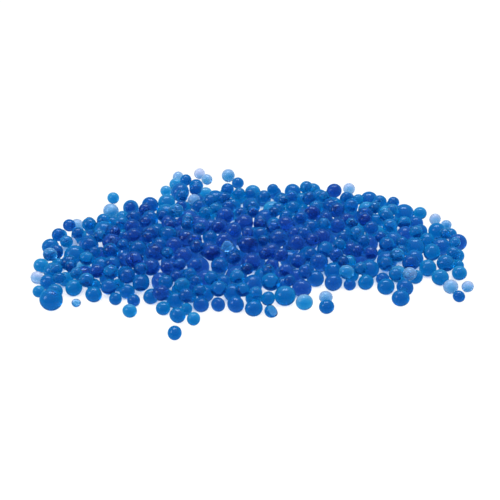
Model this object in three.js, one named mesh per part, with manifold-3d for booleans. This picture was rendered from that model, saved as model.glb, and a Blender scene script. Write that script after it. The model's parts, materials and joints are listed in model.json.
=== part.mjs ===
// A loose heap of blue indicating silica gel, the beads that dry the air in a desiccator's base.
// Millimetres, +Z up, the bench is the plane z = 0, and the origin is the middle of the footprint.
//
// The beads are laid down one after another. Each rolls downhill over the beads that are already
// there until it sits in a pocket or on the bench, so beads touch and never overlap. A bead is a
// faceted ball. The beads named below are solids of their own. The rest of the heap is divided into
// groups of touching neighbours: each group is one solid, whose beads small necks join in a tree.

import * as THREE from "three";
import { ConvexGeometry } from "three/addons/geometries/ConvexGeometry.js";
import { mergeVertices } from "three/addons/utils/BufferGeometryUtils.js";
import Module from "manifold-3d";

const wasm = await Module();
wasm.setup();

// ---- Driving dimensions ----

const SEED = 46;
const BEAD = { mean: 4.05, spread: 0.55, least: 3.0, most: 5.2 }; // diameters
const BIG_BEAD = { share: 0.06, least: 5.0, most: 5.6 };
const FLATNESS = 0.92; // height of a settled bead over its width
const NARROWEST = 0.87; // least width of an uneven bead over its greatest
const MOST_MISSES = 300; // the heap is full after this many beads in a row have found no place
const TOUCH = 0.5; // widest gap that counts as a contact
const NECK = 0.16; // neck radius over the smaller bead's radius
const FOOT = 0.3; // radius of the flat that a named bead rests on, over the bead's radius
const GROUP_SIZE = 17; // beads
const MOST_GROUPS = 24;

// Heights that the heap's top may reach: a thin layer, and mounds that stand on it.
const LAYER = 6.2;
const MOUNDS = [
  { x: -26, y: -2, height: 2.3, spread: 9 },
  { x: -4, y: 0, height: 2.7, spread: 11 },
  { x: 21, y: 5, height: 2.3, spread: 9 },
];

// Outline of the heap on the bench, through the centres of its outermost beads.
const OUTLINE = [
  [-49, -5], [-47, 5], [-44.5, 11], [-39.5, 14], [-36, 14.5], [-32, 19.5], [-27.5, 22], [-21, 22.5],
  [-21, 30.5], [-19, 32.5], [-12.5, 32.5], [-8.5, 23], [-7.5, 28], [-2, 29.5], [4.5, 28], [11, 30],
  [19, 30], [24.5, 25], [32, 25], [37.5, 20.5], [40.5, 16.5], [42.5, 8], [45.5, 11], [48.5, 11.5],
  [50, 4], [49.5, -8], [46, -11], [40.5, -7.5], [35.5, -14.5], [32, -16], [31, -10.5], [25, -12.5],
  [16, -12], [15, -16.5], [8, -18.5], [1, -21.5], [-7, -20.5], [-13.5, -21], [-16, -27.5], [-17, -19.5],
  [-20, -21], [-24.5, -15], [-27, -20], [-33, -17], [-40, -16], [-47, -16.5],
];

// Beads that lie clear of the heap, each as its name, place and diameter.
const STRAY_BEADS = [
  ["stray_bead_back_1", -18.5, 37.0, 3.2],
  ["stray_bead_back_2", -13.0, 39.0, 3.0],
  ["stray_bead_back_3", -11.0, 36.0, 3.0],
  ["stray_bead_back_4", -5.5, 37.5, 3.6],
  ["stray_bead_back_5", -3.0, 34.0, 3.2],
  ["stray_bead_back_left", -34.5, 26.5, 3.2],
  ["stray_bead_back_right", 25.5, 31.0, 3.2],
  ["stray_bead_right_1", 46.0, 16.5, 3.0],
  ["stray_bead_right_2", 48.5, 14.0, 2.7],
  ["stray_bead_front_right", 48.0, -17.0, 3.0],
  ["stray_bead_front", -16.5, -31.5, 3.5],
];

// Beads that stand out at the heap's edge.
const EDGE_BEADS = [
  ["large_bead_front_left", -45.0, -20.0, 5.5],
  ["large_bead_left", -41.5, -1.5, 5.3],
  ["large_bead_back", 11.0, 28.5, 4.5],
  ["large_bead_front_right", 34.5, -18.5, 4.2],
  ["edge_bead_left_1", -49.5, -9.5, 3.2],
  ["edge_bead_left_2", -48.5, -15.0, 3.0],
  ["edge_bead_back_left", -34.5, 19.5, 4.1],
  ["edge_bead_right_1", 42.5, 19.0, 3.4],
  ["edge_bead_right_2", 50.5, -13.0, 2.9],
  ["edge_bead_front_right", 46.5, -13.5, 3.6],
  ["edge_bead_front_1", -27.0, -23.0, 3.4],
  ["edge_bead_front_2", -19.5, -22.0, 3.4],
  ["edge_bead_front_3", -12.5, -26.0, 3.3],
  ["edge_bead_front_4", 1.0, -22.5, 4.2],
  ["edge_bead_front_5", 12.5, -20.0, 4.0],
  ["edge_bead_front_6", 17.5, -21.5, 3.6],
  ["edge_bead_front_7", 17.5, -17.5, 3.2],
];

// Broken and cracked beads. A cut takes off what lies farther than its depth in its direction, both
// as shares of the radius. A cut with a width is a crack of that width.
const BROKEN_BEADS = [
  ["split_bead_front", 5.0, -23.0, 3.3, [{ way: [0.7, -0.2, 0.7], depth: 0.25 }]],
  ["chipped_bead_left", -39.5, 15.0, 3.0, [
    { way: [0.5, -0.1, 0.8], depth: 0.45 },
    { way: [-0.6, -0.3, 0.7], depth: 0.5 },
  ]],
  ["shard_left", -48.5, -1.0, 2.4, [
    { way: [0, 0.5, 0.8], depth: 0 },
    { way: [1, -0.3, 0.2], depth: 0.1 },
  ]],
  ["chip_front_left", -39.5, -19.0, 2.2, [{ way: [0.2, -0.3, 0.9], depth: 0.1 }]],
];

// The same for pieces that lie on top of the heap.
const BROKEN_ON_TOP = [
  ["cracked_bead_back_left", -18.0, 12.5, 3.6, [{ way: [0.2, -0.8, 0.6], depth: 0.1, width: 0.08 }]],
  ["cracked_bead_right_1", 34.5, -6.5, 3.5, [{ way: [0.1, -0.6, 0.8], depth: 0, width: 0.08 }]],
  ["cracked_bead_right_2", 38.0, -10.0, 3.3, [{ way: [-0.3, -0.5, 0.8], depth: 0.1, width: 0.08 }]],
  ["shard_top", -5.0, -6.5, 3.4, [
    { way: [0.3, -0.6, 0.7], depth: 0.1 },
    { way: [-0.8, 0, 0.5], depth: 0.4 },
  ]],
];

// ---- Materials ----

const gel = (color) => new THREE.MeshStandardMaterial({ color, roughness: 0.15, metalness: 0 });
const DEEP_BLUE = gel(0x0d2f8c);
const BLUE = gel(0x0a50b4);
const AZURE = gel(0x1e82cc);
const PALE = gel(0xaec8ea);

// ---- Random numbers that are the same on every run ----

function seededRandom(seed) {
  let state = seed;
  return () => {
    state = (state + 0x6d2b79f5) | 0;
    let t = Math.imul(state ^ (state >>> 15), 1 | state);
    t = (t + Math.imul(t ^ (t >>> 7), 61 | t)) ^ t;
    return ((t ^ (t >>> 14)) >>> 0) / 2 ** 32;
  };
}

const random = seededRandom(SEED);
const between = (low, high) => low + (high - low) * random();

function normal() {
  return Math.sqrt(-2 * Math.log(1 - random())) * Math.cos(2 * Math.PI * random());
}

function randomRadius() {
  if (random() < BIG_BEAD.share) return between(BIG_BEAD.least, BIG_BEAD.most) / 2;
  return THREE.MathUtils.clamp(BEAD.mean + BEAD.spread * normal(), BEAD.least, BEAD.most) / 2;
}

function randomTurn() {
  return new THREE.Quaternion(normal(), normal(), normal(), normal()).normalize();
}

// ---- Where beads may lie ----

const OUTLINE_BOX = new THREE.Box2().setFromPoints(OUTLINE.map(([x, y]) => new THREE.Vector2(x, y)));

function insideOutline(x, y) {
  let inside = false;
  OUTLINE.forEach(([ax, ay], i) => {
    const [bx, by] = OUTLINE[(i + 1) % OUTLINE.length];
    if (ay > y !== by > y && x < ax + ((bx - ax) * (y - ay)) / (by - ay)) inside = !inside;
  });
  return inside;
}

function allowedTop(x, y) {
  const mound = (m) => m.height * Math.exp(-((x - m.x) ** 2 + (y - m.y) ** 2) / (2 * m.spread ** 2));
  return LAYER + MOUNDS.reduce((sum, m) => sum + mound(m), 0);
}

// ---- Laying the beads down ----

const LARGEST_RADIUS = Math.max(...EDGE_BEADS.map(([, , , diameter]) => diameter / 2));

function makeBead(name, x, y, z, r) {
  const squeeze = between(NARROWEST, 1);
  const squeezeAngle = between(0, Math.PI);
  return { name, centre: new THREE.Vector3(x, y, z), r, squeeze, squeezeAngle };
}

// Height at which a ball of radius r rests with its centre over (x, y).
function restHeight(x, y, r, nearby) {
  let z = r;
  for (const b of nearby) {
    const reach = r + b.r;
    const across = (x - b.centre.x) ** 2 + (y - b.centre.y) ** 2;
    if (across < reach * reach) z = Math.max(z, b.centre.z + Math.sqrt(reach * reach - across));
  }
  return z;
}

// Rolls a ball downhill from (x, y), in ever smaller steps, until every way leads up.
function roll(x, y, r, beads) {
  const FIRST_STEP = 0.8;
  const LAST_STEP = 0.002;
  const WAYS = 12;
  const within = r + LARGEST_RADIUS + FIRST_STEP;
  const near = (at) => beads.filter((b) => Math.hypot(b.centre.x - at.x, b.centre.y - at.y) < within);
  let place = { x, y, z: restHeight(x, y, r, beads) };
  let step = FIRST_STEP;
  while (step > LAST_STEP && place.z > r) {
    const nearby = near(place);
    let lowest = place;
    for (let i = 0; i < WAYS; i++) {
      const angle = (2 * Math.PI * (i + random())) / WAYS;
      const nx = place.x + step * Math.cos(angle);
      const ny = place.y + step * Math.sin(angle);
      const nz = restHeight(nx, ny, r, nearby);
      if (nz < lowest.z) lowest = { x: nx, y: ny, z: nz };
    }
    if (lowest === place) step /= 2;
    place = lowest;
  }
  return place;
}

const gapBetween = (a, b) => a.centre.distanceTo(b.centre) - a.r - b.r;

// True if a bead would lie against a stray bead, or over it.
function crowdsStray(bead, strays) {
  const apart = (s) => Math.hypot(s.centre.x - bead.centre.x, s.centre.y - bead.centre.y);
  return strays.some((s) => apart(s) < s.r + bead.r + TOUCH);
}

// Lays touching beads on the bench along the outline, wherever there is room.
function layEdge(beads, strays) {
  const WANDER = 0.4;
  OUTLINE.forEach(([ax, ay], i) => {
    const [bx, by] = OUTLINE[(i + 1) % OUTLINE.length];
    const length = Math.hypot(bx - ax, by - ay);
    for (let along = 0, r; along < length; along += r) {
      r = randomRadius();
      const x = THREE.MathUtils.lerp(ax, bx, along / length) + between(-WANDER, WANDER);
      const y = THREE.MathUtils.lerp(ay, by, along / length) + between(-WANDER, WANDER);
      const bead = makeBead("", x, y, r, r);
      if (restHeight(x, y, r, beads) === r && !crowdsStray(bead, strays)) beads.push(bead);
    }
  });
}

// Drops beads inside the outline until the heap is full.
function fillHeap(beads, strays) {
  for (let misses = 0; misses < MOST_MISSES; misses++) {
    const r = randomRadius();
    const startX = between(OUTLINE_BOX.min.x, OUTLINE_BOX.max.x);
    const startY = between(OUTLINE_BOX.min.y, OUTLINE_BOX.max.y);
    if (!insideOutline(startX, startY)) continue;
    const { x, y, z } = roll(startX, startY, r, beads);
    const bead = makeBead("", x, y, z, r);
    const lowEnough = z === r || z + r < allowedTop(x, y);
    const meetsHeap = beads.some((b) => gapBetween(bead, b) < TOUCH);
    if (insideOutline(x, y) && lowEnough && meetsHeap && !crowdsStray(bead, strays)) {
      beads.push(bead);
      misses = 0;
    }
  }
}

// ---- Groups of touching beads ----

// Takes the free bead farthest from the middle, then the nearest free beads that touch the group.
function growGroup(free) {
  const first = free.reduce((a, b) => (b.centre.lengthSq() > a.centre.lengthSq() ? b : a));
  const group = { beads: [first], contacts: [] };
  free.splice(free.indexOf(first), 1);
  while (group.beads.length < GROUP_SIZE) {
    let next = null;
    for (const bead of free) {
      const distance = bead.centre.distanceTo(first.centre);
      if (next && distance >= next.distance) continue;
      const other = group.beads.find((b) => gapBetween(bead, b) < TOUCH);
      if (other) next = { bead, other, distance };
    }
    if (!next) break;
    group.beads.push(next.bead);
    group.contacts.push([next.other, next.bead]);
    free.splice(free.indexOf(next.bead), 1);
  }
  return group;
}

function contactBetween(groupA, groupB) {
  for (const a of groupA.beads) {
    const b = groupB.beads.find((other) => gapBetween(a, other) < TOUCH);
    if (b) return [a, b];
  }
  return null;
}

// Joins small groups to their smallest neighbours until few enough are left.
function mergeGroups(groups) {
  while (groups.length > MOST_GROUPS) {
    groups.sort((a, b) => a.beads.length - b.beads.length);
    const neighbourOf = (group) => groups.find((g) => g !== group && contactBetween(group, g));
    const small = groups.find(neighbourOf);
    const neighbour = neighbourOf(small);
    neighbour.contacts.push(contactBetween(small, neighbour), ...small.contacts);
    neighbour.beads.push(...small.beads);
    groups.splice(groups.indexOf(small), 1);
  }
}

function makeGroups(beads) {
  const free = [...beads];
  const groups = [];
  while (free.length) groups.push(growGroup(free));
  mergeGroups(groups);
  return groups;
}

// ---- Solids ----

const DOWN = new THREE.Vector3(0, 0, -1);
const UP = new THREE.Vector3(0, 0, 1);

// Three points round the middle of the contact between two beads.
function neckPoints(a, b) {
  const along = b.centre.clone().sub(a.centre).normalize();
  const middle = a.centre.clone().addScaledVector(along, a.r + gapBetween(a, b) / 2);
  return ringPoints(middle, along, NECK * Math.min(a.r, b.r));
}

function footPoints(bead) {
  return ringPoints(bead.centre.clone().setZ(0), DOWN, FOOT * bead.r);
}

function ringPoints(middle, axis, radius) {
  const turn = new THREE.Quaternion().setFromUnitVectors(DOWN, axis);
  return [0, 1, 2].map((i) => {
    const angle = (2 * Math.PI * i) / 3;
    const spoke = new THREE.Vector3(radius * Math.cos(angle), radius * Math.sin(angle), 0);
    return spoke.applyQuaternion(turn).add(middle);
  });
}

function cornersOf(geometry) {
  geometry.deleteAttribute("normal").deleteAttribute("uv");
  const { position } = mergeVertices(geometry).attributes;
  const corner = (_, i) => new THREE.Vector3().fromBufferAttribute(position, i);
  return Array.from({ length: position.count }, corner);
}

const COARSE = cornersOf(new THREE.IcosahedronGeometry(1, 0));
const FINE = cornersOf(new THREE.IcosahedronGeometry(1, 1));

// Turns the ball's corners so that none of them is near a contact, where a neck would swallow it.
function turnedCorners(corners, contacts) {
  const TRIES = 40;
  let best = null;
  for (let i = 0; i < TRIES; i++) {
    const turn = randomTurn();
    const turned = corners.map((c) => c.clone().applyQuaternion(turn));
    const nearness = Math.max(-1, ...contacts.flatMap((way) => turned.map((c) => c.dot(way))));
    if (!best || nearness < best.nearness) best = { turned, nearness };
  }
  return best.turned;
}

// A faceted ball, squeezed a little along one level direction, with a flat for each contact.
function beadGeometry(bead, corners, contacts, foot = []) {
  const others = contacts.map(([a, b]) => (a === bead ? b : a));
  const ways = others.map((other) => other.centre.clone().sub(bead.centre).normalize());
  const squeezeWay = new THREE.Vector3(Math.cos(bead.squeezeAngle), Math.sin(bead.squeezeAngle), 0);
  const ball = turnedCorners(corners, foot.length ? [DOWN] : ways);
  for (const corner of ball) {
    corner.addScaledVector(squeezeWay, (bead.squeeze - 1) * corner.dot(squeezeWay));
    corner.multiplyScalar(bead.r).add(bead.centre);
  }
  const necks = contacts.flatMap(([a, b]) => neckPoints(a, b));
  return new ConvexGeometry([...ball, ...necks, ...foot]).deleteAttribute("normal");
}

// One closed surface from beads that share a facet at each neck: both copies of that facet go.
function groupGeometry({ beads, contacts }) {
  const facets = new Map();
  for (const bead of beads) {
    const own = contacts.filter((contact) => contact.includes(bead));
    const { array } = beadGeometry(bead, COARSE, own).attributes.position;
    for (let i = 0; i < array.length; i += 9) {
      const facet = array.slice(i, i + 9);
      const key = [0, 3, 6].map((j) => facet.slice(j, j + 3).join()).sort().join("|");
      if (facets.has(key)) facets.delete(key);
      else facets.set(key, facet);
    }
  }
  const position = new THREE.Float32BufferAttribute([...facets.values()].flatMap((f) => [...f]), 3);
  return mergeVertices(new THREE.BufferGeometry().setAttribute("position", position));
}

// ---- Broken beads ----

function toSolid(geometry) {
  const closed = mergeVertices(geometry.deleteAttribute("normal").deleteAttribute("uv"));
  const vertProperties = closed.attributes.position.array;
  const triVerts = new Uint32Array(closed.index.array);
  return new wasm.Manifold(new wasm.Mesh({ numProp: 3, vertProperties, triVerts }));
}

function toGeometry(solid) {
  const { vertProperties, triVerts } = solid.getMesh();
  const geometry = new THREE.BufferGeometry();
  geometry.setAttribute("position", new THREE.BufferAttribute(vertProperties, 3));
  return geometry.setIndex(new THREE.BufferAttribute(triVerts, 1));
}

function brokenGeometry(bead, cuts) {
  const REACH = 4;
  let solid = toSolid(new THREE.IcosahedronGeometry(1, 1));
  for (const { way, depth, width = REACH } of cuts) {
    const outward = new THREE.Vector3(...way).normalize();
    const block = new THREE.BoxGeometry(REACH, width, REACH);
    block.applyQuaternion(new THREE.Quaternion().setFromUnitVectors(UP, outward));
    block.translate(...outward.multiplyScalar(depth + REACH / 2));
    solid = solid.subtract(toSolid(block));
  }
  return toGeometry(solid).scale(bead.r, bead.r, bead.r).translate(...bead.centre);
}

// ---- The heap ----

const heap = new THREE.Group();

function addMesh(name, geometry, material) {
  const mesh = new THREE.Mesh(geometry, material);
  mesh.name = name;
  heap.add(mesh);
}

function middleOf(beads) {
  const sum = beads.reduce((total, b) => total.add(b.centre), new THREE.Vector3());
  return sum.divideScalar(beads.length);
}

// The gel looks darker where more of it lies in the way of the light.
function tintFor(at) {
  const DEEP_RISE = 1.2;
  const BLUE_RISE = 0.3;
  const rise = allowedTop(at.x, at.y) - LAYER;
  if (rise > DEEP_RISE) return DEEP_BLUE;
  return rise > BLUE_RISE ? BLUE : AZURE;
}

// Groups are named by where they lie and numbered from left to right.
function addGroups(groups) {
  const MIDDLE = { left: -17, right: 17, front: -7, back: 8 };
  const counts = {};
  const placed = groups.map((group) => ({ group, at: middleOf(group.beads) }));
  for (const { group, at } of placed.sort((a, b) => a.at.x - b.at.x)) {
    const depth = at.y > MIDDLE.back ? "back" : at.y < MIDDLE.front ? "front" : "centre";
    const side = at.x > MIDDLE.right ? "right" : at.x < MIDDLE.left ? "left" : "middle";
    const zone = `beads_${depth}_${side}`;
    counts[zone] = (counts[zone] ?? 0) + 1;
    addMesh(`${zone}_${counts[zone]}`, groupGeometry(group), tintFor(at));
  }
}

const onBench = ([name, x, y, diameter]) => makeBead(name, x, y, diameter / 2, diameter / 2);
const strays = STRAY_BEADS.map(onBench);
const edge = EDGE_BEADS.map(onBench);
const broken = BROKEN_BEADS.map(onBench);
const beads = [...edge, ...broken];
layEdge(beads, strays);
fillHeap(beads, strays);
const onTop = BROKEN_ON_TOP.map(([name, x, y, diameter]) => {
  const place = roll(x, y, diameter / 2, beads);
  beads.push(makeBead(name, place.x, place.y, place.z, diameter / 2));
  return beads.at(-1);
});

const cutsOf = Object.fromEntries([...BROKEN_BEADS, ...BROKEN_ON_TOP].map((row) => [row[0], row[4]]));
strays.forEach((bead) => addMesh(bead.name, beadGeometry(bead, FINE, [], footPoints(bead)), PALE));
edge.forEach((bead) => addMesh(bead.name, beadGeometry(bead, FINE, [], footPoints(bead)), AZURE));
[...broken, ...onTop].forEach((bead) => addMesh(bead.name, brokenGeometry(bead, cutsOf[bead.name]), PALE));
addGroups(makeGroups(beads.filter((bead) => !bead.name)));

heap.scale.z = FLATNESS;
const footprint = new THREE.Box3().setFromObject(heap).getCenter(new THREE.Vector3());
heap.position.set(-footprint.x, -footprint.y, 0);
export default heap;
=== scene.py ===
"""Looks for a loose heap of blue indicating silica-gel beads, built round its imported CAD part."""

import json
import math

import bmesh
import bpy
import numpy as np
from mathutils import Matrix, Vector


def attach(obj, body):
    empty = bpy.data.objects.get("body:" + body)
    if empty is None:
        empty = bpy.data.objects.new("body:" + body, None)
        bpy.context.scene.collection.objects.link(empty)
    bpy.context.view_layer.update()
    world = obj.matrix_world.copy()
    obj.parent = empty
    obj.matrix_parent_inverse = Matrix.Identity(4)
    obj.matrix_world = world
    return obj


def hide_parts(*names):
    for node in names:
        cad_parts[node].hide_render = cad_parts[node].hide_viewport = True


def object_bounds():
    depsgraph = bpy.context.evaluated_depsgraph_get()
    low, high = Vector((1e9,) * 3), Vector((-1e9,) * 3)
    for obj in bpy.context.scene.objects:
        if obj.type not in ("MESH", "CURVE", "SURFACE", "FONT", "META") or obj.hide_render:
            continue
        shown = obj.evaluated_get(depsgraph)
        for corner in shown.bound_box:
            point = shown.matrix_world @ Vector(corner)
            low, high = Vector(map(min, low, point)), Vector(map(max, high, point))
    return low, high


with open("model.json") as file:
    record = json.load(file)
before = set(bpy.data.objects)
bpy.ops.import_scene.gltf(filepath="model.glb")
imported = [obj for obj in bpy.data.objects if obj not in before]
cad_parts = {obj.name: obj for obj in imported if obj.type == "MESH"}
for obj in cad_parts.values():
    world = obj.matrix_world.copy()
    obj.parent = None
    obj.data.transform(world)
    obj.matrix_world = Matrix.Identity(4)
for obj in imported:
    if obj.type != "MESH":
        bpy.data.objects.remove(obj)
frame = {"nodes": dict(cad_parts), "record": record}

CAD_LOW, CAD_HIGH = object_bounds()
MM = 0.001

# Shape of the beads.
CLEARANCE = 0.998        # a bead's size over the size of the CAD ball that it stands for
FLATNESS = 0.92          # height of a CAD ball over its width
DENT = 0.03              # depth of the dents in a bead, over its radius
GROUP_DETAIL = 4         # icosphere subdivisions of a bead in a group
SINGLE_DETAIL = 5        # icosphere subdivisions of a bead that has a node of its own

# Fracture discs, the thin air gaps in a flawed bead. Lengths are over the bead's radius.
FLAWED_SHARE = 0.06      # share of the groups' beads that hold discs
MOST_DISCS = 3
DISC_DETAIL = 3          # icosphere subdivisions
DISC_RADIUS = (0.25, 0.5)
DISC_HALF_THICKNESS = 0.012
DISC_NARROWNESS = 0.7    # least width over greatest
DISC_BOW = 0.35          # most that a disc curves, over its own radius
DISC_RAGGEDNESS = 0.2    # how uneven its edge is, over its own radius
DISC_OFF_CENTRE = (0.05, 0.35)
DISC_DYE = 0.85          # a disc or a broken face looks paler than the gel round it

# Cuts in the broken beads. Lengths are over the bead's radius.
CUT_REACH = 1.3          # half the side of a cutting block
CUT_DEPTH = 3            # thickness of a block that takes off a whole side of a bead
LEAST_FACE = 0.35        # least area of a CAD face that is a break, over the radius squared
CUT_HOLLOW = 0.10        # depth of the hollow in a broken face
CRACK_BEND = (0.10, 0.16)
SHARPEST = 35            # degrees that two faces may turn and still shade as one smooth skin

# A bead's dye value runs from 0, the deepest blue, to 1, with almost no dye. These are the colours
# of white light after a path through gel that is a little shorter than a bead is wide.
DYE_RAMP = [
    (0.00, (0.014, 0.084, 0.430)),
    (0.30, (0.002, 0.130, 0.460)),
    (0.60, (0.001, 0.220, 0.540)),
    (0.80, (0.050, 0.340, 0.740)),
    (1.00, (0.720, 0.760, 0.950)),
]
MILKY_FROM = 0.72        # beads above this are milky

# How the dye value varies over one bead: in patches, which are the gel's own, and from its middle up to
# its top, which is painted light: the top is painted paler and the underside deeper, as light from above
# falls on the bead.
CLEAR_PATCHES = 0.05
MILKY_PATCHES = 0.11
# painted light: how much paler a bead's top is painted, and its underside deeper
PAINTED_TOP_LIGHT = 0.13
EXTRA_PAINTED_LIGHT_ON_PALE_TOPS = 0.14    # more of the same painted top light for a pale bead, times its dye value

# Dye value of the beads in each of the record's finishes, and the chance that a bead at the heap's
# edge is a pale one.
DYE_OF_SLOT = {"deep_blue_gel": 0.15, "blue_gel": 0.29, "azure_gel": 0.38, "pale_gel": 0.80}
PALE_CHANCE = {"deep_blue_gel": 0.00, "blue_gel": 0.03, "azure_gel": 0.09, "pale_gel": 0.45}
PALE_DYE = (0.7, 0.95)
MOST_PLAIN_DYE = 0.7     # beads that aren't pale ones stay below this
DYE_SPREAD = 0.13        # standard deviation
EDGE_PALER = 0.12        # from the heap's middle to its edge
STRAY_REACH = 1.2        # depth of the whole with its stray beads, over the depth of the heap itself
USUAL_HALF_HEIGHT = 1.75 * MM
SIZE_DEEPENS = 0.30      # taken off for a bead of twice the usual size: it is thicker, so deeper

# Dye value of the beads that have a node of their own.
DYE_OF_NODE = {
    "stray_bead_back_1": 0.84,
    "stray_bead_back_2": 0.97,
    "stray_bead_back_3": 0.80,
    "stray_bead_back_4": 0.78,
    "stray_bead_back_5": 0.30,
    "stray_bead_back_left": 0.62,
    "stray_bead_back_right": 0.94,
    "stray_bead_right_1": 0.88,
    "stray_bead_right_2": 0.76,
    "stray_bead_front_right": 0.25,
    "stray_bead_front": 0.36,
    "large_bead_front_left": 0.38,
    "large_bead_left": 0.36,
    "large_bead_back": 0.25,
    "large_bead_front_right": 0.30,
    "edge_bead_left_1": 1.00,
    "edge_bead_left_2": 0.56,
    "edge_bead_back_left": 0.78,
    "edge_bead_right_1": 0.52,
    "edge_bead_right_2": 0.86,
    "edge_bead_front_right": 0.84,
    "edge_bead_front_1": 0.60,
    "edge_bead_front_2": 0.45,
    "edge_bead_front_3": 0.55,
    "edge_bead_front_4": 0.30,
    "edge_bead_front_5": 0.70,
    "edge_bead_front_6": 0.30,
    "edge_bead_front_7": 0.84,
    "split_bead_front": 0.36,
    "chipped_bead_left": 0.28,
    "shard_left": 0.95,
    "chip_front_left": 0.66,
    "cracked_bead_back_left": 0.60,
    "cracked_bead_right_1": 0.56,
    "cracked_bead_right_2": 0.80,
    "shard_top": 0.72,
}

# The light's path through a bead's edge and through its middle, over the path that DYE_RAMP is for.
EDGE_PATH, MIDDLE_PATH = 0.6, 1.15
LATER_BEADS = 0.1        # how strongly a bead behind the first one tints the light, over the first
# painted rim light: the near-white colour that a pale bead's rim is painted towards, and how tightly it
# keeps to the rim
PAINTED_RIM_LIGHT = (0.95, 0.92, 1.0)
RIM_SHARPNESS = 1.4

# Colours of the bench and of the studio.
WHITE = (1, 1, 1)
# painted shadow: the blue painted into the narrow gaps between beads
PAINTED_GAP_SHADE = (0.04, 0.22, 0.60)
# painted reflection: the blue that the bench is painted as in the beads' reflections
PAINTED_BENCH_REFLECTION = (0.05, 0.33, 0.70)
OVERHEAD = (0.26, 0.40, 0.70)
HORIZON = (0.015, 0.15, 0.35)
LAMPS = (0.65, 0.82, 1.0)


# ---- Finding the beads in the CAD nodes ----

def corner_points(node):
    """The distinct corners of a CAD node, in metres."""
    weld = 0.001 * MM
    mesh = frame["nodes"][node].data
    points = np.empty(len(mesh.vertices) * 3)
    mesh.vertices.foreach_get("co", points)
    points = points.reshape(-1, 3)
    _, first = np.unique(np.round(points / weld), axis=0, return_index=True)
    return points[np.sort(first)]


def opposite_pairs(points):
    """Lists of corner pairs that share a midpoint, the longest list first. A ball's corners lie in
    opposite pairs, so each such midpoint is a bead's centre."""
    least_width, most_width, cell, fewest = 1.8 * MM, 6.0 * MM, 0.03 * MM, 5
    a, b = np.triu_indices(len(points), 1)
    width = np.linalg.norm(points[a] - points[b], axis=1)
    fits = (width > least_width) & (width < most_width)
    a, b = a[fits], b[fits]
    middle = (points[a] + points[b]) / 2
    found = []
    for shift in (0.0, 0.5):
        _, group, votes = np.unique(
            np.floor(middle / cell + shift), axis=0, return_inverse=True, return_counts=True
        )
        group = group.ravel()
        for g in np.flatnonzero(votes >= fewest):
            pairs = np.flatnonzero(group == g)
            found.append((a[pairs], b[pairs]))
    return sorted(found, key=lambda pair_list: -len(pair_list[0]))


def fit_ellipsoid(offsets):
    """The symmetric matrix that turns the unit ball into the ellipsoid through these points. A bead is
    squeezed along a level direction and along z, so one axis of its ellipsoid is z."""
    x, y, z = offsets.T
    terms = np.stack([x * x, y * y, z * z, 2 * x * y], axis=1)
    (xx, yy, zz, xy), *_ = np.linalg.lstsq(terms, np.ones(len(offsets)), rcond=None)
    squares, axes = np.linalg.eigh([[xx, xy, 0], [xy, yy, 0], [0, 0, zz]])
    return axes @ np.diag(1 / np.sqrt(squares)) @ axes.T


def whole_beads(node):
    """The centre and the ellipsoid matrix of each ball in a CAD node."""
    points = corner_points(node)
    used = np.zeros(len(points), bool)
    beads = []
    for a, b in opposite_pairs(points):
        own = np.concatenate([a, b])
        if used[own].any():
            continue
        used[own] = True
        centre = points[own].mean(0)
        beads.append((centre, fit_ellipsoid(points[own] - centre)))
    return beads


def cut_bead(node):
    """The centre and the ellipsoid matrix of the ball that a broken bead was cut from: the flattened
    ball that the most corners lie on."""
    tries, tolerance, least_volume = 400, 0.004, 0.1
    stretch = np.array([1, 1, 1 / FLATNESS])
    points = corner_points(node) / MM * stretch
    rng = np.random.default_rng(len(points))
    best = (0, None, None)
    for _ in range(tries):
        four = points[rng.choice(len(points), 4, replace=False)]
        sides = 2 * (four[1:] - four[0])
        if abs(np.linalg.det(sides)) < least_volume:
            continue
        centre = np.linalg.solve(sides, (four[1:] ** 2).sum(1) - (four[0] ** 2).sum())
        radius = np.linalg.norm(four[0] - centre)
        fits = np.abs(np.linalg.norm(points - centre, axis=1) - radius) < tolerance
        if fits.sum() > best[0]:
            best = (fits.sum(), centre, radius)
    _, centre, radius = best
    return centre * MM / stretch, np.diag(radius * MM / stretch)


def cut_faces(node, least_area):
    """The corners and the outward normal of each flat face of a CAD node that is at least this big."""
    places = 2
    mesh = frame["nodes"][node].data
    faces = {}
    for polygon in mesh.polygons:
        height = polygon.center.dot(polygon.normal) / MM
        key = (*(round(n, places) for n in polygon.normal), round(height, places))
        faces.setdefault(key, []).append(polygon)
    found = []
    for polygons in faces.values():
        if sum(p.area for p in polygons) >= least_area:
            corners = {v for p in polygons for v in p.vertices}
            normal = np.array(polygons[0].normal)
            found.append((np.array([mesh.vertices[v].co for v in sorted(corners)]), normal))
    return found


# ---- Bead meshes ----

def unit_ball(detail):
    """The points and triangles of an icosphere."""
    bm = bmesh.new()
    bmesh.ops.create_icosphere(bm, subdivisions=detail, radius=1.0)
    points = np.array([v.co for v in bm.verts])
    triangles = np.array([[v.index for v in f.verts] for f in bm.faces])
    bm.free()
    return points, triangles


BALLS = {detail: unit_ball(detail) for detail in (DISC_DETAIL, GROUP_DETAIL, SINGLE_DETAIL)}


def waves(points, rng, pitch, count=5):
    """A smooth random pattern, from -1 to 1. A higher pitch makes it finer."""
    ways = rng.normal(size=(count, points.shape[1])) * pitch
    phases = rng.uniform(0, 2 * math.pi, count)
    return np.cos(points @ ways.T + phases).mean(1)


def random_way(rng):
    way = rng.normal(size=3)
    return way / np.linalg.norm(way)


def square_axes(way):
    """Two directions that are square to this one and to each other."""
    steep = 0.9
    helper = np.array([0.0, 0.0, 1.0]) if abs(way[2]) < steep else np.array([1.0, 0.0, 0.0])
    u = np.cross(way, helper)
    u /= np.linalg.norm(u)
    return u, np.cross(way, u)


def dented(points, rng):
    """The unit ball with shallow dents, and never a bump."""
    depth = 0.5 + 0.5 * waves(points, rng, pitch=2.0)
    return points * (CLEARANCE - DENT * depth)[:, None]


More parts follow.
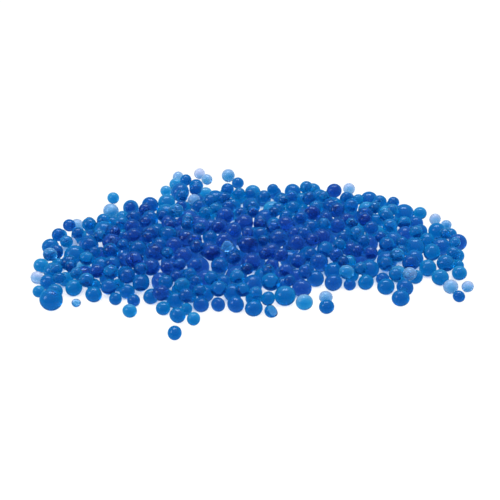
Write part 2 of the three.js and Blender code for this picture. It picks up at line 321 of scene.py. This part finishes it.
def fracture_disc(rng):
    """A thin, bowed air gap inside the unit ball, with its faces turned inward."""
    points, triangles = BALLS[DISC_DETAIL]
    radius = rng.uniform(*DISC_RADIUS)
    way = random_way(rng)
    u, v = square_axes(way)
    x, y, z = points.T
    bow = rng.uniform(-DISC_BOW, DISC_BOW) * (x * x + y * y)
    ragged = 1 + DISC_RAGGEDNESS * waves(points, rng, pitch=3.0)
    flat = (x * ragged)[:, None] * u + DISC_NARROWNESS * (y * ragged)[:, None] * v
    disc = flat * radius + (z * DISC_HALF_THICKNESS + bow * radius)[:, None] * way
    return disc + random_way(rng) * rng.uniform(*DISC_OFF_CENTRE), triangles[:, ::-1]


def dye_with_painted_top_light(dye, points, rng):
    """The dye value over a unit bead, which is patchy, more so in a milky bead. Painted light is added to
    it: the top is painted paler and the underside deeper, standing in for the light from above that
    scatters in the gel."""
    patches = MILKY_PATCHES if dye > MILKY_FROM else CLEAR_PATCHES
    top = PAINTED_TOP_LIGHT + EXTRA_PAINTED_LIGHT_ON_PALE_TOPS * dye
    # the height term is painted light: it pales the top and deepens the underside
    return dye + patches * waves(points, rng, pitch=2.0, count=3) + top * points[:, 2]


def bead_skin(detail, centre, matrix, dye, rng):
    """A bead's skin as one (points, triangles, dye) part."""
    points, triangles = BALLS[detail]
    return centre + dented(points, rng) @ matrix, triangles, dye_with_painted_top_light(dye, points, rng)


def bead_fractures(count, centre, matrix, rng):
    """The thin gaps inside a flawed bead, as (points, triangles, dye) parts."""
    parts = []
    for _ in range(count):
        disc, triangles = fracture_disc(rng)
        parts.append((centre + disc @ matrix, triangles, np.full(len(disc), DISC_DYE)))
    return parts


def dye_near(centre, half_height, slot, rng):
    """A bead's dye value, from its node's finish, its size and how near the heap's edge it is."""
    middle = (CAD_LOW + CAD_HIGH) / 2
    reach = (CAD_HIGH - CAD_LOW) / 2
    out = math.hypot((centre[0] - middle.x) / reach.x, (centre[1] - middle.y) / reach.y * STRAY_REACH)
    if rng.random() < PALE_CHANCE[slot] * out:
        return rng.uniform(*PALE_DYE)
    dye = DYE_OF_SLOT[slot] + EDGE_PALER * (out - 0.5) + DYE_SPREAD * rng.normal()
    dye -= SIZE_DEEPENS * (half_height / USUAL_HALF_HEIGHT - 1)
    return float(np.clip(dye, 0.0, MOST_PLAIN_DYE))


def add_mesh(name, parts, materials):
    """One mesh object from (points, triangles, dye) parts. Pale parts take the second material."""
    points, triangles, dye, milky, start = [], [], [], [], 0
    for part_points, part_triangles, part_dye in parts:
        points.append(part_points)
        triangles.append(part_triangles + start)
        dye.append(part_dye)
        milky.append(np.full(len(part_triangles), part_dye.mean() > MILKY_FROM, np.int32))
        start += len(part_points)
    mesh = bpy.data.meshes.new(name)
    mesh.from_pydata(np.concatenate(points).tolist(), [], np.concatenate(triangles).tolist())
    for material in materials:
        mesh.materials.append(material)
    mesh.polygons.foreach_set("material_index", np.concatenate(milky))
    mesh.polygons.foreach_set("use_smooth", np.ones(len(mesh.polygons), bool))
    set_dye(mesh, np.concatenate(dye))
    piece = bpy.data.objects.new(name, mesh)
    bpy.context.scene.collection.objects.link(piece)
    return piece


def set_dye(mesh, dye):
    """Stores a dye value at each of the mesh's corners, for the materials to read. On a bead's skin it
    also holds the painted top light.
    """
    attribute = mesh.attributes.get("dye") or mesh.attributes.new("dye", "FLOAT", "POINT")
    attribute.data.foreach_set("value", np.clip(dye, 0, 1).astype(np.float32))


# ---- Cuts and cracks ----

def block_mesh(origin, u, v, w, size, thickness, relief):
    """A closed block on a square of this size at origin, along u and v. It reaches thickness along w,
    and relief gives how far both its large faces stand off at each point of the square."""
    steps = 32
    side = np.linspace(-1, 1, steps)
    a, b = [g.ravel() for g in np.meshgrid(side, side)]
    base = origin + (a * size)[:, None] * u + (b * size)[:, None] * v + relief(a, b)[:, None] * w
    points = np.concatenate([base, base + thickness * w])
    top = steps * steps
    faces = []
    for i in range(steps - 1):
        for j in range(steps - 1):
            k = i * steps + j
            faces.append((k, k + steps, k + steps + 1, k + 1))
            faces.append((k + top, k + top + 1, k + top + steps + 1, k + top + steps))
    rim = [*range(steps), *range(2 * steps - 1, top, steps)]
    rim += [*range(top - 2, top - steps - 1, -1), *range(top - 2 * steps, 0, -steps)]
    for k, after in zip(rim, rim[1:] + rim[:1]):
        faces.append((k, after, after + top, k + top))
    mesh = bpy.data.meshes.new("block")
    mesh.from_pydata(points.tolist(), [], faces)
    bm = bmesh.new()
    bm.from_mesh(mesh)
    bmesh.ops.recalc_face_normals(bm, faces=bm.faces)
    bm.to_mesh(mesh)
    bm.free()
    return mesh


def carve(piece, block):
    """Takes the block out of the piece."""
    tool = bpy.data.objects.new("tool", block)
    bpy.context.scene.collection.objects.link(tool)
    cut = piece.modifiers.new("cut", "BOOLEAN")
    cut.operation, cut.solver, cut.object = "DIFFERENCE", "EXACT", tool
    cut.use_self = True
    graph = bpy.context.evaluated_depsgraph_get()
    graph.update()
    mesh = bpy.data.meshes.new_from_object(piece.evaluated_get(graph))
    piece.modifiers.clear()
    piece.data = mesh
    bpy.data.objects.remove(tool)


def fracture_block(face, radius, rng):
    """A block whose lower face is a shell-like fracture, where a CAD node has a flat one. Ripples
    spread over it from the point where the bead was struck."""
    struck_a, struck_b = 1.0, -0.6
    ripple_height, ripple_pitch, roughness = 0.012, 9, 0.04
    corners, normal = face
    middle = corners.mean(0)
    u, v = square_axes(normal)

    def relief(a, b):
        ripples = ripple_height * np.cos(ripple_pitch * np.hypot(a - struck_a, b - struck_b))
        ripples += roughness * waves(np.stack([a, b], axis=1), rng, pitch=3.0)
        return -radius * (ripples + CUT_HOLLOW * (a * a + b * b) - CUT_HOLLOW / 2)

    return block_mesh(middle, u, v, normal, CUT_REACH * radius, CUT_DEPTH * radius, relief)


def crack_block(walls, centre, radius, rng):
    """A thin, bowed blade that lies between the two walls of a CAD node's slot, with fine ripples."""
    curve, ripple_height, ripple_a, ripple_b = 1.8, 0.02, 7, 2
    (corners, normal), (other_corners, _) = walls
    middle = (corners.mean(0) + other_corners.mean(0)) / 2
    width = abs((corners.mean(0) - other_corners.mean(0)) @ normal)
    opening = middle - centre
    opening -= opening @ normal * normal
    opening /= np.linalg.norm(opening)
    floor = ((corners - centre) @ opening).min()
    along = np.cross(normal, opening)
    size = CUT_REACH * radius
    origin = centre + opening * (floor + size) + normal * ((middle - centre) @ normal - width / 4)
    bend = rng.uniform(*CRACK_BEND) * rng.choice([-1, 1])

    def relief(a, b):
        ripples = ripple_height * np.sin(ripple_a * a + ripple_b * b)
        return radius * (bend * np.cos(curve * a) - bend + ripples)

    return block_mesh(origin, along, opening, normal, size, width / 2, relief)


def broken_piece(node, materials, rng):
    """A ball with its broken faces or its crack, in the place of a faceted CAD one."""
    centre, matrix = cut_bead(node)
    radius = matrix[0, 0]
    dye = DYE_OF_NODE[node]
    parts = [bead_skin(SINGLE_DETAIL, centre, matrix, dye, rng)]
    if "cracked" in node:
        parts += bead_fractures(MOST_DISCS, centre, matrix, rng)
    piece = add_mesh(node + "_gel", parts, materials)
    least_area = LEAST_FACE * radius**2
    if "cracked" in node:
        walls = sorted(cut_faces(node, least_area), key=lambda face: -len(face[0]))[:2]
        carve(piece, crack_block(walls, centre, radius, rng))
    else:
        for face in cut_faces(node, least_area):
            carve(piece, fracture_block(face, radius, rng))
    mesh = piece.data
    points = (np.array([v.co for v in mesh.vertices]) - centre) / np.diag(matrix)
    deeper_than_dents = 1 - 1.5 * DENT
    broken_face = np.linalg.norm(points, axis=1) < deeper_than_dents
    set_dye(mesh, np.where(broken_face, max(dye, DISC_DYE), dye_with_painted_top_light(dye, points, rng)))
    mesh.polygons.foreach_set("material_index", np.full(len(mesh.polygons), dye > MILKY_FROM, np.int32))
    mesh.polygons.foreach_set("use_smooth", np.ones(len(mesh.polygons), bool))
    mesh.set_sharp_from_angle(angle=math.radians(SHARPEST))
    return piece


# ---- All the beads ----

def whole_piece(node, slot, materials, rng):
    """Separate balls in the place of a CAD node's joined ones, or one ball for a single bead."""
    detail = SINGLE_DETAIL if node in DYE_OF_NODE else GROUP_DETAIL
    parts = []
    for centre, matrix in whole_beads(node):
        dye = DYE_OF_NODE.get(node) or dye_near(centre, matrix[2, 2], slot, rng)
        parts.append(bead_skin(detail, centre, matrix, dye, rng))
        if detail == GROUP_DETAIL and rng.random() < FLAWED_SHARE:
            parts += bead_fractures(rng.integers(1, MOST_DISCS + 1), centre, matrix, rng)
    return add_mesh(node + "_gel", parts, materials)


def is_broken(node):
    return any(word in node for word in ("chip", "shard", "split", "cracked"))


def build_beads(materials):
    slots = {part["node"]: part["material_slot"] for part in frame["record"]["subparts"]}
    for body, nodes in frame["record"]["behaviour"]["bodies"].items():
        for node in nodes:
            rng = np.random.default_rng(sum(ord(c) * (i + 1) for i, c in enumerate(node)))
            if is_broken(node):
                piece = broken_piece(node, materials, rng)
            else:
                piece = whole_piece(node, slots[node], materials, rng)
            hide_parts(node)
            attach(piece, body)


# ---- Materials ----

def new_material(name):
    material = bpy.data.materials.new(name)
    material.use_nodes = True
    return material, material.node_tree.nodes, material.node_tree.links


def map_range(nodes, links, source, low, high, to_low, to_high):
    node = nodes.new("ShaderNodeMapRange")
    node.inputs["From Min"].default_value = low
    node.inputs["From Max"].default_value = high
    node.inputs["To Min"].default_value = to_low
    node.inputs["To Max"].default_value = to_high
    links.new(source, node.inputs["Value"])
    return node.outputs["Result"]


def math_node(nodes, links, operation, a, b):
    node = nodes.new("ShaderNodeMath")
    node.operation = operation
    for socket, value in zip(node.inputs, (a, b)):
        if isinstance(value, (int, float)):
            socket.default_value = value
        else:
            links.new(value, socket)
    return node.outputs["Value"]


def mix_colours(nodes, links, share, first, second):
    """The colour that is first where share is 0 and second where it is 1."""
    node = nodes.new("ShaderNodeMix")
    node.data_type = "RGBA"
    factor, a, b = node.inputs[0], node.inputs[6], node.inputs[7]
    links.new(share, factor)
    for socket, colour in ((a, first), (b, second)):
        if isinstance(colour, tuple):
            socket.default_value = (*colour, 1)
        else:
            links.new(colour, socket)
    return node.outputs[2]


def dye_ramp(nodes, links):
    """The dye value at each point of a bead, and its colour."""
    dye = nodes.new("ShaderNodeAttribute")
    dye.attribute_name = "dye"
    ramp = nodes.new("ShaderNodeValToRGB")
    elements = ramp.color_ramp.elements
    elements[0].position, elements[0].color = DYE_RAMP[0][0], (*DYE_RAMP[0][1], 1)
    elements[1].position, elements[1].color = DYE_RAMP[-1][0], (*DYE_RAMP[-1][1], 1)
    for position, colour in DYE_RAMP[1:-1]:
        elements.new(position).color = (*colour, 1)
    links.new(dye.outputs["Fac"], ramp.inputs["Fac"])
    return dye.outputs["Fac"], ramp.outputs["Color"]


def gel_colour(nodes, links):
    """Colour of the light that a bead lets through: less at its middle than at its thin edge. The
    first bead takes out nearly all the light that the dye can take, so those behind it take less.
    A pale bead's rim is painted almost clear and white: a painted rim light."""
    least_pale, palest = 0.55, 0.9
    dye, colour = dye_ramp(nodes, links)
    layer = nodes.new("ShaderNodeLayerWeight")
    layer.inputs["Blend"].default_value = 0.5
    rimward = layer.outputs["Facing"]
    thickness = map_range(nodes, links, rimward, 1.0, 0.0, EDGE_PATH, MIDDLE_PATH)
    path = nodes.new("ShaderNodeLightPath")
    deeper = map_range(nodes, links, path.outputs["Transmission Depth"], 1.0, 2.0, 1.0, LATER_BEADS)
    tint = nodes.new("ShaderNodeGamma")
    links.new(colour, tint.inputs["Color"])
    links.new(math_node(nodes, links, "MULTIPLY", thickness, deeper), tint.inputs["Gamma"])
    # painted rim light: a pale bead is painted towards near white at its rim
    paleness = map_range(nodes, links, dye, least_pale, palest, 0.0, 1.0)
    rim = math_node(nodes, links, "POWER", rimward, RIM_SHARPNESS)
    painted_rim_share = math_node(nodes, links, "MULTIPLY", paleness, rim)
    return mix_colours(nodes, links, painted_rim_share, tint.outputs["Color"], PAINTED_RIM_LIGHT)


def gel_material(name, transmission, ior, rough):
    """Glassy gel with a faintly uneven skin: its roughness varies by a fifth either way."""
    material, nodes, links = new_material(name)
    shader = nodes["Principled BSDF"]
    links.new(gel_colour(nodes, links), shader.inputs["Base Color"])
    place = nodes.new("ShaderNodeTexCoord").outputs["Object"]
    patches = nodes.new("ShaderNodeTexNoise")
    patches.inputs["Scale"].default_value = 600
    patches.inputs["Detail"].default_value = 1
    links.new(place, patches.inputs["Vector"])
    roughness = map_range(nodes, links, patches.outputs["Fac"], 0.3, 0.7, rough * 0.8, rough * 1.2)
    links.new(roughness, shader.inputs["Roughness"])
    skin = nodes.new("ShaderNodeBump")
    skin.inputs["Strength"].default_value = 0.08
    skin.inputs["Distance"].default_value = 0.05 * MM
    links.new(patches.outputs["Fac"], skin.inputs["Height"])
    links.new(skin.outputs["Normal"], shader.inputs["Coat Normal"])
    shader.inputs["Transmission Weight"].default_value = transmission
    shader.inputs["IOR"].default_value = ior
    shader.inputs["Coat Weight"].default_value = 0.4
    shader.inputs["Coat Roughness"].default_value = 0.22
    shader.inputs["Coat IOR"].default_value = 1.5
    return material


def floor_material():
    """A white bench that is lit evenly from below, so the beads hardly shade it. Shade is painted on it:
    blue is painted into the narrow gaps between beads, for camera rays only, as a painted shadow of the
    light that comes through them. The bench's reflection is painted too: it is painted blue where a bead
    reflects it."""
    material, nodes, links = new_material("white_bench")
    shader = nodes["Principled BSDF"]
    shader.inputs["Base Color"].default_value = (0.08, 0.08, 0.08, 1)
    shader.inputs["Roughness"].default_value = 1.0
    shader.inputs["Specular IOR Level"].default_value = 0.0
    path = nodes.new("ShaderNodeLightPath").outputs
    # painted shadow: the more enclosed a point is, the more blue shade is painted there
    in_narrow_gap, in_the_open = 0.03, 0.12
    open_sky = nodes.new("ShaderNodeAmbientOcclusion")
    open_sky.samples = 12
    open_sky.inputs["Distance"].default_value = 8 * MM
    narrow = map_range(nodes, links, open_sky.outputs["AO"], in_narrow_gap, in_the_open, 1.0, 0.0)
    painted_gap_shade = math_node(nodes, links, "MULTIPLY", narrow, path["Is Camera Ray"])
    bench = mix_colours(nodes, links, painted_gap_shade, WHITE, PAINTED_GAP_SHADE)
    # painted reflection: glossy rays that are not transmission rays see the bench painted blue
    painted_reflection_share = math_node(nodes, links, "SUBTRACT", path["Is Glossy Ray"], path["Is Transmission Ray"])
    glow = mix_colours(nodes, links, painted_reflection_share, bench, PAINTED_BENCH_REFLECTION)
    links.new(glow, shader.inputs["Emission Color"])
    shader.inputs["Emission Strength"].default_value = 1.0
    return material


# ---- Stage ----

def add_floor():
    half = 3.0
    corners = [(-half, -half, 0), (half, -half, 0), (half, half, 0), (-half, half, 0)]
    mesh = bpy.data.meshes.new("bench")
    mesh.from_pydata(corners, [], [(0, 1, 2, 3)])
    mesh.materials.append(floor_material())
    floor = bpy.data.objects.new("bench", mesh)
    bpy.context.scene.collection.objects.link(floor)


def aim(obj, target):
    obj.rotation_euler = (target - obj.location).to_track_quat("-Z", "Y").to_euler()


def add_soft_box(name, place, width, height, strength):
    light = bpy.data.lights.new(name, "AREA")
    light.shape = "RECTANGLE"
    light.size, light.size_y = width, height
    light.energy = strength
    light.color = LAMPS
    box = bpy.data.objects.new(name, light)
    bpy.context.scene.collection.objects.link(box)
    box.location = place
    aim(box, Vector((0, 0, 0)))


def add_world():
    """A white backdrop to the camera. The beads see a studio that is bright overhead and dim low down."""
    world = bpy.data.worlds.new("studio")
    world.use_nodes = True
    nodes, links = world.node_tree.nodes, world.node_tree.links
    way = nodes.new("ShaderNodeTexCoord").outputs["Generated"]
    parts = nodes.new("ShaderNodeSeparateXYZ")
    links.new(way, parts.inputs["Vector"])
    nearly_overhead = 0.9
    height = map_range(nodes, links, parts.outputs["Z"], 0.0, nearly_overhead, 0.0, 1.0)
    studio = mix_colours(nodes, links, height, HORIZON, OVERHEAD)
    from_camera = nodes.new("ShaderNodeLightPath").outputs["Is Camera Ray"]
    seen = mix_colours(nodes, links, from_camera, studio, WHITE)
    links.new(seen, nodes["Background"].inputs["Color"])
    bpy.context.scene.world = world


def add_camera():
    elevation, distance, lens = math.radians(33), 0.357, 108.0
    target = Vector((-0.4, -3.6, 3.0)) * MM
    camera = bpy.data.objects.new("camera", bpy.data.cameras.new("camera"))
    camera.data.lens = lens
    camera.data.clip_start = 0.01
    bpy.context.scene.collection.objects.link(camera)
    camera.location = target + distance * Vector((0, -math.cos(elevation), math.sin(elevation)))
    aim(camera, target)
    bpy.context.scene.camera = camera


def set_up_render():
    scene = bpy.context.scene
    scene.view_settings.view_transform = "Standard"
    scene.cycles.max_bounces = 24
    scene.cycles.transmission_bounces = 24
    scene.cycles.glossy_bounces = 4


clear_gel = gel_material("clear_blue_gel", transmission=0.93, ior=1.25, rough=0.18)
milky_gel = gel_material("milky_blue_gel", transmission=0.8, ior=1.3, rough=0.3)
build_beads([clear_gel, milky_gel])
add_floor()
add_world()
add_soft_box("top_soft_box", Vector((0.0, 0.27, 0.6)), width=0.5, height=0.22, strength=3)
add_soft_box("left_soft_box", Vector((-0.6, -0.15, 0.4)), width=0.2, height=0.3, strength=1.5)
add_camera()
set_up_render()
